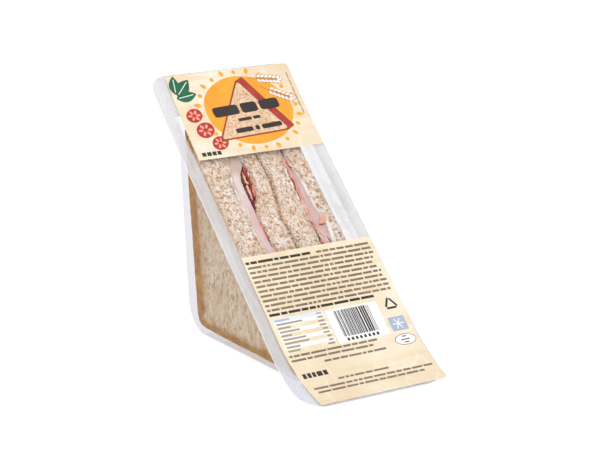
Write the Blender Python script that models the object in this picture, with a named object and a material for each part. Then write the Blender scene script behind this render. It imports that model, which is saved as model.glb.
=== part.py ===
"""A shut clear wedge pack with two triangular sandwich halves of wholemeal bread, standing on a table.

Every piece is modelled in the lid's own axes, as the tray is formed: x runs across the pack, y runs up
along the lid and z points out of the lid. The tray's cavity is below z = 0 and the film is above it. The
empty named pack then turns the whole pack, so that it stands on its rear edge and the flange's lower edge.
"""

import math

import bmesh
import bpy
import numpy as np
from mathutils import Vector, noise

# Tray: one clear sheet, with a flange round the lid and a cavity of two walls at 45 degrees to it.
PACK_WIDTH = 0.085
FLANGE_TOP = 0.1073
FLANGE_BOTTOM = 0.0998
FLANGE_STRIP = 0.0071
TOP_CORNER = 0.009
BOTTOM_CORNER = 0.014
SHEET = 0.0006
CAVITY_HALF = 0.0810
DEEP_FILLET = 0.0155
RIM_FILLET = 0.009
SIDE_FILLET = 0.0035
DRAFT = math.tan(math.radians(1.95))

# The sealed film has pulled both ends of the flange a little forwards.
TOP_CURL = 0.0022
TOP_CURL_START = 0.060
BOTTOM_CURL = 0.0078
BOTTOM_CURL_START = 0.063
CURL_REACH = 0.015

FILM = 0.0003
FILM_MARGIN = 0.0006
FILM_CORNER = 0.003
GAP = 0.0003

# Bread: the cut face lies just under the film, and the crust corner in the tray's rounded rear edge.
CUT_DEPTH = 0.0026
SLICE_TOP = (0.0776, -CUT_DEPTH)
SLICE_CORNER = (-0.0034, -0.0733)
SLICE_FRONT = (-0.0776, -CUT_DEPTH)
CRUST_CORNER_ROUND = 0.0025
CRUST_EDGE = 0.0016
CUT_EDGE = 0.0007
CRUMB = 0.00035
TIP = 0.0018
BULGE_DEPTH = 0.025

# Shares of a layer's depth at which its sides have a row of points, and the depth that ham reaches.
BREAD_LEVELS = (0.0, 0.12, 0.32, 0.62, 1.0)
FILLING_LEVELS = (0.0, 0.2, 0.5, 1.0)
HAM_REACH = 0.080

# Places across the pack where one layer ends and the next begins, far from any bulge.
STACK_LEFT = -0.0325
FILLING_A = -0.0202
HAM_A_END = -0.0142
MIDDLE = 0.0005
FILLING_B = 0.0141
FILLING_B_END = 0.0203
STACK_RIGHT = 0.0302
SAUCE_A = 0.0006
SAUCE_B = 0.0008

# Where the layers swell or lean at the cut: place along the lid, rise across the pack, reach along the lid.
LEAN_A = ((0.058, 0.0045, 0.014), (-0.012, 0.0016, 0.016))
HAM_A_SWELLS = ((0.0505, 0.0056, 0.0065), (-0.010, 0.0008, 0.008))
BACON_A_FOLDS = ((0.024, 0.0015, 0.008), (-0.013, 0.0034, 0.006))
BACON_A_FLATS = ((0.0375, 0.0068, 0.011), (-0.018, 0.0015, 0.033))
MIDDLE_LEANS = ((0.041, 0.0028, 0.0155), (0.0135, -0.0013, 0.005))
LEAN_B = ((0.052, 0.0012, 0.007), (0.014, -0.0006, 0.009), (-0.008, -0.0006, 0.006))
BACON_B_FOLDS = ((-0.010, 0.0020, 0.007),)
BACON_B_FLATS = ((0.027, 0.0022, 0.022), (-0.024, 0.0022, 0.028))
HAM_B_SWELLS = ((0.050, -0.0024, 0.010), (0.007, 0.0024, 0.009), (-0.010, 0.0014, 0.012))
SAUCE_B_SWELLS = ((0.027, 0.0010, 0.010), (0.000, 0.0014, 0.010))
LEAN_RIGHT = ((-0.012, 0.0006, 0.020),)

# Fillings: how far they stay inside the crust, their round at the cut, and where the right ham sits deeper.
FILLING_INSET = 0.0042
FILLING_EDGE = 0.0004
FILLING_FLOOR_ROUND = 0.003
HAM_B_DIP = (0.053, 0.0040, 0.009)


def clear_scene():
    for old in list(bpy.data.objects):
        bpy.data.objects.remove(old)


def material(name, colour, roughness, alpha=1.0):
    made = bpy.data.materials.new(name)
    made.use_nodes = True
    shader = made.node_tree.nodes["Principled BSDF"]
    shader.inputs["Base Color"].default_value = (*colour, 1.0)
    shader.inputs["Roughness"].default_value = roughness
    shader.inputs["Metallic"].default_value = 0.0
    shader.inputs["Alpha"].default_value = alpha
    return made


def curl(y):
    """How far the lid's surface stands out of its flat plane at this place along the lid."""
    top = max(0.0, (y - TOP_CURL_START) / (FLANGE_TOP - TOP_CURL_START))
    bottom = max(0.0, (-y - BOTTOM_CURL_START) / (FLANGE_BOTTOM - BOTTOM_CURL_START))
    return TOP_CURL * top**2 + BOTTOM_CURL * bottom**2


def bent(x, y, z):
    """The point after the curl, which fades out with depth below the flange."""
    share = max(0.0, 1.0 + min(z, 0.0) / CURL_REACH)
    return Vector((x, y, z + curl(y) * share))


def cavity_depth(y, offset):
    """Depth of the cavity's middle line: two slopes, a round rear edge and round lips into the flange.

    offset is how far outside the tray's inner face the measured face lies.
    """
    along = abs(y)
    deep_round = DEEP_FILLET + offset
    lip_round = RIM_FILLET - offset
    arc_centre = CAVITY_HALF - DEEP_FILLET * math.sqrt(2)
    lip_centre = CAVITY_HALF + RIM_FILLET * math.tan(math.radians(22.5))
    if along <= deep_round / math.sqrt(2):
        return arc_centre + math.sqrt(deep_round**2 - along**2)
    if along <= lip_centre - lip_round / math.sqrt(2):
        return CAVITY_HALF + offset * math.sqrt(2) - along
    if along < lip_centre:
        return RIM_FILLET - math.sqrt(lip_round**2 - (lip_centre - along) ** 2)
    return offset


def pack_rows():
    """Places along the lid, from top to bottom, where the tray and the film have a row of points."""
    lip = RIM_FILLET * math.tan(math.radians(22.5))
    lip_rows = np.linspace(CAVITY_HALF - lip / math.sqrt(2), CAVITY_HALF + lip, 5)
    deep_rows = DEEP_FILLET * np.sin(np.radians(np.linspace(-45, 45, 9)))
    wall_rows = np.linspace(DEEP_FILLET / math.sqrt(2), lip_rows[0], 6)[1:-1]
    top_corner = FLANGE_TOP - TOP_CORNER * (1 - np.sin(np.radians([0, 25, 50, 70, 90])))
    bottom_corner = FLANGE_BOTTOM - BOTTOM_CORNER * (1 - np.sin(np.radians([15, 35, 55, 72, 90])))
    upper = [*top_corner, (top_corner[0] + lip_rows[-1]) / 2, *lip_rows, *wall_rows]
    lower = [*wall_rows, *lip_rows, *bottom_corner]
    rows = [*upper, *deep_rows, *(-y for y in lower)]
    return sorted((float(y) for y in rows), reverse=True)


def half_width(y, top_round, bottom_round, full):
    """Half the width of a plate with round corners, at this place along the lid."""
    past_top = y - (FLANGE_TOP - top_round)
    past_bottom = -y - (FLANGE_BOTTOM - bottom_round)
    for beyond, radius in ((past_top, top_round), (past_bottom, bottom_round)):
        if beyond > 0:
            return full - radius + math.sqrt(max(0.0, radius**2 - beyond**2))
    return full


def shell_object(name, upper, lower, look):
    """A closed thin shell between two faces, each given as rows of as many points."""
    mesh = bmesh.new()
    faces = [[[mesh.verts.new(p) for p in row] for row in rows] for rows in (upper, lower)]
    for rows in faces:
        for above, below in zip(rows, rows[1:]):
            for a, b, c, d in zip(above, above[1:], below[1:], below):
                mesh.faces.new((a, d, c, b) if rows is faces[0] else (a, b, c, d))
    rims = []
    for rows in faces:
        right = [row[-1] for row in rows[1:-1]]
        left = [row[0] for row in rows[1:-1]]
        rims.append([*rows[0], *right, *reversed(rows[-1]), *reversed(left)])
    for i in range(len(rims[0])):
        mesh.faces.new((rims[0][i - 1], rims[0][i], rims[1][i], rims[1][i - 1]))
    bmesh.ops.remove_doubles(mesh, verts=mesh.verts, dist=1e-6)
    bmesh.ops.dissolve_degenerate(mesh, edges=mesh.edges, dist=1e-6)
    bmesh.ops.recalc_face_normals(mesh, faces=mesh.faces)
    data = bpy.data.meshes.new(name)
    mesh.to_mesh(data)
    mesh.free()
    data.shade_smooth()
    data.set_sharp_from_angle(angle=math.radians(50))
    data.materials.append(look)
    made = bpy.data.objects.new(name, data)
    bpy.context.scene.collection.objects.link(made)
    return made


def tray_row(y, offset):
    """One row of the tray's inner or outer face, from the left edge of the flange to the right edge."""
    depth = cavity_depth(y, offset)
    edge = half_width(y, TOP_CORNER, BOTTOM_CORNER, PACK_WIDTH / 2)
    rim = min(PACK_WIDTH / 2 - FLANGE_STRIP, edge * 0.9) + offset
    fillet = min(SIDE_FILLET, cavity_depth(y, 0.0) * 0.45) + offset
    wall_foot = rim - DRAFT * (depth - fillet)
    half = [(edge, -offset), (rim, -offset), ((rim + wall_foot) / 2, -(depth - fillet) / 2)]
    for angle in np.radians([0, 30, 60, 90]):
        inwards = fillet * (1 - math.cos(angle))
        half.append((wall_foot - inwards, fillet - depth - fillet * math.sin(angle)))
    half.append((wall_foot * 0.5, -depth))
    half = [(x, min(z, -offset)) for x, z in half]
    left = [bent(-x, y, z) for x, z in half]
    right = [bent(x, y, z) for x, z in reversed(half)]
    return [*left, bent(0.0, y, -depth), *right]


def make_tray():
    rows = pack_rows()
    look = material("clear plastic", (0.90, 0.92, 0.95), 0.08, 0.3)
    return shell_object("tray", [tray_row(y, 0.0) for y in rows], [tray_row(y, SHEET) for y in rows], look)


def film_row(y, lift):
    """One row of the film. Its right corners are nearly square and pass the tray's round ones."""
    half = PACK_WIDTH / 2
    left = half_width(y, TOP_CORNER, BOTTOM_CORNER, half) - FILM_MARGIN
    right = half_width(y, FILM_CORNER, FILM_CORNER, half)
    return [Vector((-left + (left + right) * share, y, lift + curl(y))) for share in (0.0, 0.5, 1.0)]


def make_film():
    corner = FILM_CORNER * (1 - np.sin(np.radians([0, 40])))
    extra = [*(FLANGE_TOP - corner), *(corner - FLANGE_BOTTOM)]
    top = FLANGE_TOP - FILM_MARGIN
    bottom = FILM_MARGIN - FLANGE_BOTTOM
    inner = {round(float(y), 7) for y in [*pack_rows(), *extra] if bottom + 0.0002 < y < top - 0.0002}
    rows = [top, *sorted(inner, reverse=True), bottom]
    look = material("printed film", (0.93, 0.82, 0.66), 0.25)
    upper = [film_row(y, GAP + FILM) for y in rows]
    lower = [film_row(y, GAP) for y in rows]
    return shell_object("lid_film", upper, lower, look)


def bump(at, height, spread):
    """A smooth local rise, as a function of a place along the lid."""
    return lambda y: height * math.exp(-(((y - at) / spread) ** 2))


def plateau(at, height, half):
    """A rise with a flat top and soft ends."""
    return lambda y: height * math.exp(-(((y - at) / half) ** 4))


def near_cut(z):
    """What layers do at the cut fades out deep inside, where the bread is pressed flat."""
    return math.exp((z + CUT_DEPTH) / BULGE_DEPTH)


def layer_edge(base, bumps):
    """A boundary between two layers, with bumps that grow towards the cut face."""
    rises = [bump(*one) for one in bumps]
    return lambda y, z: base + near_cut(z) * sum(rise(y) for rise in rises)


def thicker(edge, by, bumps=(), flats=()):
    """The boundary on the other side of a layer, which keeps a little of its swell deep inside."""
    rises = [*(bump(*one) for one in bumps), *(plateau(*one) for one in flats)]
    return lambda y, z: edge(y, z) + by + (0.15 + 0.85 * near_cut(z)) * sum(rise(y) for rise in rises)


def layer_edges():
    """Every boundary across the stack, from left to right."""
    edges = {"left": layer_edge(STACK_LEFT, ())}
    edges["bread_a"] = layer_edge(FILLING_A, LEAN_A)
    edges["sauce_a"] = thicker(edges["bread_a"], SAUCE_A)
    edges["ham_a"] = layer_edge(HAM_A_END, HAM_A_SWELLS)
    edges["bacon_a"] = thicker(edges["ham_a"], 0.0, BACON_A_FOLDS, BACON_A_FLATS)
    edges["middle"] = layer_edge(MIDDLE, MIDDLE_LEANS)
    edges["bread_b"] = layer_edge(FILLING_B, LEAN_B)
    edges["sauce_b"] = thicker(edges["bread_b"], SAUCE_B)
    edges["bacon_b"] = thicker(edges["sauce_b"], 0.0, BACON_B_FOLDS, BACON_B_FLATS)
    edges["ham_b"] = layer_edge(FILLING_B_END, HAM_B_SWELLS)
    edges["cream_b"] = thicker(edges["ham_b"], SAUCE_B, SAUCE_B_SWELLS)
    edges["right"] = layer_edge(STACK_RIGHT, LEAN_RIGHT)
    return edges


def soft_max(a, b, rounding):
    """The higher of two lines, with a round where they meet."""
    return (a + b) / 2 + math.hypot((a - b) / 2, rounding)


def slice_floor(shift, inset):
    """Depth of a half slice's crust under each place along the lid, and its two ends.

    shift moves the crust corner along the lid, and inset draws all crust edges inwards.
    """
    (top, cut), (corner, deep), (front, _) = SLICE_TOP, SLICE_CORNER, SLICE_FRONT
    corner += shift
    deep += inset
    top -= inset
    front += inset

    def floor(y):
        back = deep + (cut - deep) * (y - corner) / (top - corner)
        base = deep + (cut - deep) * (corner - y) / (corner - front)
        return soft_max(back, base, CRUST_CORNER_ROUND)

    return floor, top - TIP, front + TIP


def shared_rows(top, bottom):
    """Rows every layer uses, so that the facets of touching layers match, and the layer's own ends.

    They are closest where the two crusts meet and where the fillings change most.
    """
    upper = np.linspace(0.0745, 0.018, 12)
    middle = np.linspace(0.0145, -0.017, 10)
    lower = np.linspace(-0.0215, -0.0745, 10)
    rows = (float(y) for y in (*upper, *middle, *lower))
    return [top, *(y for y in rows if bottom + 0.0015 < y < top - 0.0015), bottom]


def ring(y, floor, left, right, cut, rounding, relief, seed, levels):
    """The layer's outline across the pack at one place along the lid, as a loop."""
    height = -cut - floor(y)
    crust = min(rounding, 0.3 * height)
    lip = min(CUT_EDGE, 0.2 * height)

    def pit(x, z):
        return relief * abs(noise.noise(Vector((x * 230 + seed, y * 230, z * 230))))

    def side(edge, outwards):
        points = []
        for level in levels:
            z = -cut - lip - level * (height - lip - crust)
            x = edge(y, z)
            points.append((x - outwards * (GAP / 2 + pit(x, z)), z))
        return points

    def across(z, shares, rise):
        ends = left(y, z) + GAP / 2, right(y, z) - GAP / 2
        row = []
        for share in shares:
            x = ends[0] + share * (ends[1] - ends[0])
            row.append((x, z - rise * (1 - abs(2 * share - 1)) + math.copysign(pit(x, z), rise)))
        return row

    shares = (0.14, 0.5, 0.86)
    crust_row = across(-cut - height + 0.35 * crust, shares, 0.35 * crust)
    cut_row = across(-cut, shares[::-1], -1e-9)
    loop = [*side(left, -1), *crust_row, *side(right, 1)[::-1], *cut_row]
    return [Vector((x, y, z)) for x, z in loop]


def layer(name, shape, left, right, cut, rounding, relief, seed, levels, look):
    """A closed layer, lofted along the lid through one ring at each row. cut gives its depth at the cut."""
    floor, top, bottom = shape
    mesh = bmesh.new()
    rings = []
    for y in shared_rows(top, bottom):
        loop = ring(y, floor, left, right, cut(y), rounding, relief, seed, levels)
        rings.append([mesh.verts.new(p) for p in loop])
    for upper, lower in zip(rings, rings[1:]):
        for i in range(len(upper)):
            mesh.faces.new((upper[i - 1], upper[i], lower[i], lower[i - 1]))
    mesh.faces.new(rings[0])
    mesh.faces.new(rings[-1][::-1])
    bmesh.ops.recalc_face_normals(mesh, faces=mesh.faces)
    data = bpy.data.meshes.new(name)
    mesh.to_mesh(data)
    mesh.free()
    data.shade_smooth()
    data.materials.append(look)
    made = bpy.data.objects.new(name, data)
    bpy.context.scene.collection.objects.link(made)
    return made


def cut_depth(depth, *dips):
    """How deep a layer's edge lies at the cut, as a function of the place along the lid."""
    rises = [bump(*one) for one in dips]
    return lambda y: depth + sum(rise(y) for rise in rises)


def make_bread(edges):
    crumb = material("wholemeal crumb", (0.80, 0.66, 0.50), 0.9)
    places = {
        "bread_outer_a": ("left", "bread_a", 0.0, 0.0000),
        "bread_inner_a": ("bacon_a", "middle", 0.0010, 0.0006),
        "bread_inner_b": ("middle", "bread_b", -0.0008, 0.0003),
        "bread_outer_b": ("cream_b", "right", 0.0006, 0.0008),
    }
    made = []
    for seed, (name, (left, right, shift, inset)) in enumerate(places.items()):
        shape = slice_floor(shift, inset)
        how = (cut_depth(CUT_DEPTH), CRUST_EDGE, CRUMB, 11.0 * seed, BREAD_LEVELS, crumb)
        made.append(layer(name, shape, edges[left], edges[right], *how))
    return made


def filling_shape(top, bottom, depth):
    """A filling's floor: well inside the crust, no deeper than this, between two places along the lid."""
    crust, highest, lowest = slice_floor(0.0, FILLING_INSET)

    def floor(y):
        return soft_max(crust(y), -depth, FILLING_FLOOR_ROUND)

    return floor, min(top, highest), max(bottom, lowest)


def make_fillings(edges):
    sauce = material("pale dressing", (0.93, 0.90, 0.82), 0.35)
    ham = material("sliced meat", (0.86, 0.66, 0.64), 0.45)
    bacon = material("bacon", (0.62, 0.18, 0.13), 0.4)
    places = {
        "sauce_a": ("bread_a", "sauce_a", 0.064, -0.066, 0.058, cut_depth(0.0028), sauce),
        "ham_a": ("sauce_a", "ham_a", 0.068, -0.070, HAM_REACH, cut_depth(0.0027), ham),
        "bacon_a_upper": ("ham_a", "bacon_a", 0.048, 0.018, 0.044, cut_depth(0.0027), bacon),
        "bacon_a_lower": ("ham_a", "bacon_a", 0.013, -0.046, 0.046, cut_depth(0.0028), bacon),
        "sauce_b_inner": ("bread_b", "sauce_b", 0.055, -0.060, 0.055, cut_depth(0.0028), sauce),
        "bacon_b_upper": ("sauce_b", "bacon_b", 0.047, 0.000, 0.042, cut_depth(0.0028), bacon),
        "bacon_b_lower": ("sauce_b", "bacon_b", -0.0055, -0.049, 0.045, cut_depth(0.0028), bacon),
        "ham_b": ("bacon_b", "ham_b", 0.068, -0.070, HAM_REACH, cut_depth(0.0028, HAM_B_DIP), ham),
        "sauce_b_outer": ("ham_b", "cream_b", 0.052, -0.064, 0.056, cut_depth(0.0029), sauce),
    }
    made = []
    for seed, (name, (left, right, top, bottom, depth, cut, look)) in enumerate(places.items()):
        shape = filling_shape(top, bottom, depth)
        how = (cut, FILLING_EDGE, 0.0, 7.0 * seed, FILLING_LEVELS, look)
        made.append(layer(name, shape, edges[left], edges[right], *how))
    return made


def standing_angle():
    """The lid's slope at which the rear edge and the flange's lower edge are level."""
    arc_depth = CAVITY_HALF - DEEP_FILLET * math.sqrt(2)
    arc_radius = DEEP_FILLET + SHEET
    across = FLANGE_BOTTOM
    down = arc_depth + curl(-FLANGE_BOTTOM) - SHEET
    return math.acos(-arc_radius / math.hypot(across, down)) - math.atan2(across, down)


def stand(pieces):
    """Parents every piece to one empty that turns the pack up and centres it over the origin."""
    pack = bpy.data.objects.new("pack", None)
    bpy.context.scene.collection.objects.link(pack)
    pack.rotation_euler = (standing_angle(), 0.0, 0.0)
    for piece in pieces:
        piece.parent = pack
    bpy.context.view_layer.update()
    graph = bpy.context.evaluated_depsgraph_get()
    corners = [p.matrix_world @ v.co for p in pieces for v in p.evaluated_get(graph).data.vertices]
    low = [min(c[i] for c in corners) for i in range(3)]
    high = [max(c[i] for c in corners) for i in range(3)]
    pack.location = (-(low[0] + high[0]) / 2, -(low[1] + high[1]) / 2, -low[2])


def main():
    clear_scene()
    edges = layer_edges()
    stand([make_tray(), make_film(), *make_bread(edges), *make_fillings(edges)])


main()
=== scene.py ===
"""The looks of a shut clear wedge pack with two sandwich halves, on a plain pale floor.

Pieces are worked out in the lid's axes: u runs across the pack, v up along the lid and n out of it, all in
metres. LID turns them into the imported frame.
"""

import math
import random

import bmesh
import bpy
import numpy as np
from mathutils import Matrix, Vector, noise


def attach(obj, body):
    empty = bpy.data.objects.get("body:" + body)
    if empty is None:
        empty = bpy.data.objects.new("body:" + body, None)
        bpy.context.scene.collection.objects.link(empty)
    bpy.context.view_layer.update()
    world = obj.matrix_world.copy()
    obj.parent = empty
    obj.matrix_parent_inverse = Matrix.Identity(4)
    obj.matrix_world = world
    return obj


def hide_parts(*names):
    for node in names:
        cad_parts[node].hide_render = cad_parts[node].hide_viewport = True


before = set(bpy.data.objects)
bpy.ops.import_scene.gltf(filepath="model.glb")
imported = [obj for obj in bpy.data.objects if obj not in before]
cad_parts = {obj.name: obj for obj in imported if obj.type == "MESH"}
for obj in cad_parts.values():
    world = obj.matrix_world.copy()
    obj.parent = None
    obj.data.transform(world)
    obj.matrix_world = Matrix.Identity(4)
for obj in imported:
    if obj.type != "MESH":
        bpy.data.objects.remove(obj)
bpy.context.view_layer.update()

MM = 0.001

# The tray and the film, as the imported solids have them.
HALF_WIDTH = 0.0425
FLANGE_TOP = 0.1073
FLANGE_BOTTOM = 0.0998
FLANGE_STRIP = 0.0071
TOP_CORNER = 0.009
BOTTOM_CORNER = 0.014
SHEET = 0.0006
CAVITY_HALF = 0.0810
DEEP_FILLET = 0.0155
RIM_FILLET = 0.009
SIDE_FILLET = 0.0035
DRAFT = math.tan(math.radians(1.95))
TOP_CURL = 0.0022
TOP_CURL_START = 0.060
BOTTOM_CURL = 0.0078
BOTTOM_CURL_START = 0.063
CURL_REACH = 0.015
FILM = 0.0003
FILM_MARGIN = 0.0006
FILM_CORNER = 0.003
GAP = 0.0003
CUT_DEPTH = 0.0026
SLICE_TOP = (0.0776, -CUT_DEPTH)
SLICE_CORNER = (-0.0034, -0.0733)
SLICE_FRONT = (-0.0776, -CUT_DEPTH)

# The camera's place from the middle of the lid, its angles and its lens, as fitted to the photograph.
CAMERA_OFFSET = Vector((-0.49168, -0.79175, 0.27984))
CAMERA_ANGLES = (73.616, -0.552, -31.835)
CAMERA_LENS = 113.75


def ripple(*place):
    """Smooth noise from -1 to 1 at a place."""
    return noise.noise(Vector(place))


def curl(v):
    """How far the lid's surface stands out of its flat plane at this place along the lid."""
    top = max(0.0, (v - TOP_CURL_START) / (FLANGE_TOP - TOP_CURL_START))
    bottom = max(0.0, (-v - BOTTOM_CURL_START) / (FLANGE_BOTTOM - BOTTOM_CURL_START))
    return TOP_CURL * top**2 + BOTTOM_CURL * bottom**2


def standing_angle():
    """The lid's slope at which the rear edge and the flange's lower edge are level."""
    arc_depth = CAVITY_HALF - DEEP_FILLET * math.sqrt(2)
    down = arc_depth + curl(-FLANGE_BOTTOM) - SHEET
    reach = math.hypot(FLANGE_BOTTOM, down)
    return math.acos(-(DEEP_FILLET + SHEET) / reach) - math.atan2(FLANGE_BOTTOM, down)


def lid_matrix():
    turn = Matrix.Rotation(standing_angle(), 4, "X")
    film = [turn.inverted() @ vertex.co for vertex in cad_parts["lid_film"].data.vertices]
    along = max(p.y for p in film) - (FLANGE_TOP - FILM_MARGIN)
    out = min(p.z for p in film) - GAP
    return turn @ Matrix.Translation((0.0, along, out))


LID = lid_matrix()


# Materials: colours are screen values from 0 to 255, and scales of noise are per metre


def linear(colour):
    """Linear colour from screen values."""
    return [c / 255 / 12.92 if c <= 10 else ((c / 255 + 0.055) / 1.055) ** 2.4 for c in colour]


class Look:
    """A node material with a few helpers, so that each look below reads as a recipe."""

    def __init__(self, name):
        self.material = bpy.data.materials.new(name)
        self.material.use_nodes = True
        self.nodes = self.material.node_tree.nodes
        self.links = self.material.node_tree.links
        self.shader = self.nodes["Principled BSDF"]
        self.output = self.nodes["Material Output"]
        self.place = self.nodes.new("ShaderNodeTexCoord").outputs["Object"]

    def put(self, socket, value):
        if isinstance(value, bpy.types.NodeSocket):
            self.links.new(value, socket)
        else:
            socket.default_value = value

    def set(self, **inputs):
        for name, value in inputs.items():
            self.put(self.shader.inputs[name.replace("_", " ").title().replace("Ior", "IOR")], value)

    def noise(self, scale, detail=4.0, rough=0.6, stretch=(1.0, 1.0, 1.0), turn=(0.0, 0.0, 0.0)):
        mapping = self.nodes.new("ShaderNodeMapping")
        mapping.inputs["Scale"].default_value = stretch
        mapping.inputs["Rotation"].default_value = turn
        self.links.new(self.place, mapping.inputs["Vector"])
        made = self.nodes.new("ShaderNodeTexNoise")
        made.inputs["Scale"].default_value = scale
        made.inputs["Detail"].default_value = detail
        made.inputs["Roughness"].default_value = rough
        self.links.new(mapping.outputs["Vector"], made.inputs["Vector"])
        return made.outputs["Fac"]

    def ramp(self, value, *stops):
        """Shares or colours between stops, each given with its place."""
        made = self.nodes.new("ShaderNodeValToRGB")
        ramp = made.color_ramp
        while len(ramp.elements) < len(stops):
            ramp.elements.new(1.0)
        for element, (at, tone) in zip(ramp.elements, stops):
            element.position = at
            element.color = (*(linear(tone) if isinstance(tone, tuple) else [tone] * 3), 1.0)
        self.links.new(value, made.inputs["Fac"])
        return made.outputs["Color"]

    def patches(self, start, full, share, *noise):
        """A share that rises from none to this much as the noise goes from start to full."""
        return self.ramp(self.noise(*noise), (start, 0.0), (full, share))

    def over(self, base, share, colour):
        """The base with this share of a colour over it."""
        made = self.nodes.new("ShaderNodeMix")
        made.data_type = "RGBA"
        self.put(made.inputs["Factor"], share)
        self.put(made.inputs[6], base)
        self.put(made.inputs[7], (*linear(colour), 1.0) if isinstance(colour, tuple) else colour)
        return made.outputs[2]

    def layered(self, base, *layers):
        """The base with patches of other colours over it, each as a colour and what patches() takes."""
        for colour, *patches in layers:
            base = self.over(base, self.patches(*patches), colour)
        return base

    def math(self, how, a, b):
        made = self.nodes.new("ShaderNodeMath")
        made.operation = how
        made.use_clamp = True
        self.put(made.inputs[0], a)
        self.put(made.inputs[1], b)
        return made.outputs[0]

    def attribute(self, name):
        made = self.nodes.new("ShaderNodeAttribute")
        made.attribute_name = name
        return made.outputs["Fac"]

    def bump(self, height, depth, strength):
        made = self.nodes.new("ShaderNodeBump")
        made.inputs["Strength"].default_value = strength
        made.inputs["Distance"].default_value = depth
        self.links.new(height, made.inputs["Height"])
        self.links.new(made.outputs["Normal"], self.shader.inputs["Normal"])


STEEP_HAZE = 0.2
STEEP_GLOSS = 0.6
STEEPNESS = 5.0


def clear_look(name, tint, milk, haze, gloss, rough=0.06, wave_depth=0.0006):
    """Thin clear plastic: tint is the share of light let through, and milk the linear colour of its haze.

    Haze and gloss are shares seen straight on. Both grow towards a glancing angle, as they do on real sheet.
    """
    look = Look(name)
    nodes, links = look.nodes, look.links
    through = nodes.new("ShaderNodeBsdfTransparent")
    through.inputs["Color"].default_value = (*tint, 1.0)
    body = nodes.new("ShaderNodeBsdfDiffuse")
    body.inputs["Color"].default_value = (*milk, 1.0)
    shine = nodes.new("ShaderNodeBsdfGlossy")
    shine.inputs["Roughness"].default_value = rough
    facing = nodes.new("ShaderNodeLayerWeight")
    facing.inputs["Blend"].default_value = 0.5
    steep = look.math("POWER", facing.outputs["Facing"], STEEPNESS)
    mixers = []
    below = through
    for layer, share, growth in ((body, haze, STEEP_HAZE), (shine, gloss, STEEP_GLOSS)):
        mixer = nodes.new("ShaderNodeMixShader")
        links.new(look.math("ADD", look.math("MULTIPLY", steep, growth), share), mixer.inputs[0])
        links.new(below.outputs[0], mixer.inputs[1])
        links.new(layer.outputs[0], mixer.inputs[2])
        mixers.append(mixer)
        below = mixer
    wave = nodes.new("ShaderNodeBump")
    wave.inputs["Distance"].default_value = wave_depth
    links.new(look.noise(90.0, 3.0), wave.inputs["Height"])
    links.new(wave.outputs["Normal"], shine.inputs["Normal"])
    links.new(below.outputs[0], look.output.inputs["Surface"])
    look.haze = mixers[0].inputs[0]
    look.milk = body.inputs["Color"]
    return look


def wall_look():
    return clear_look("tray wall", (0.928, 0.926, 0.938), (0.76, 0.76, 0.80), 0.002, 0.006).material


def flange_look():
    """The flange: hazier than the walls, with faint creases across it and painted lilac shade at its lower
    end.
    """
    look = clear_look("tray flange", (0.955, 0.956, 0.960), (0.83, 0.815, 0.82), 0.0, 0.03, 0.25, 0.0003)
    creases = look.noise(60.0, 4.0, 0.6, (3.0, 0.5, 0.5), (0.5, 0.0, 0.0))
    look.put(look.haze, look.ramp(creases, (0.38, 0.42), (0.50, 0.50), (0.62, 0.66)))
    # Painted shade: the haze turns lilac and a little darker towards the flange's lower end.
    parts = look.nodes.new("ShaderNodeSeparateXYZ")
    look.put(parts.inputs[0], look.place)
    height = look.math("MULTIPLY", parts.outputs["Z"], 20.0)
    look.put(look.milk, look.ramp(height, (0.08, (227.2, 226.6, 237.4)), (0.42, (234.9, 233.0, 233.7))))
    return look.material


def edge_look():
    """The sheet's cut edge, which catches the light."""
    return clear_look("tray edge", (0.96, 0.96, 0.97), (0.93, 0.94, 0.96), 0.75, 0.05, 0.2).material


def film_look():
    """The lid's film: streaked and a little milky, as painted shade, where it hangs slack over the empty
    side.
    """
    look = clear_look("clear film", (0.990, 0.990, 0.992), (0.72, 0.72, 0.735), 0.0, 0.006, 0.08)
    # Painted shade: grey haze in streaks and folds, for the shade of the slack film's crinkles.
    streaks = look.noise(55.0, 2.5, 0.5, (4.0, 0.7, 0.7))
    streaks = look.ramp(streaks, (0.42, 0.12), (0.56, 0.26), (0.68, 0.44))
    painted_folds = look.noise(30.0, 3.0, 0.6, (1.2, 1.0, 1.0), (0.0, 0.5, 0.3))
    painted_folds = look.ramp(painted_folds, (0.47, 0.0), (0.5, 0.22), (0.53, 0.0))
    share = look.math("MULTIPLY", look.math("ADD", streaks, painted_folds), look.attribute("slack"))
    look.put(look.haze, look.math("ADD", share, 0.003))
    return look.material


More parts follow.
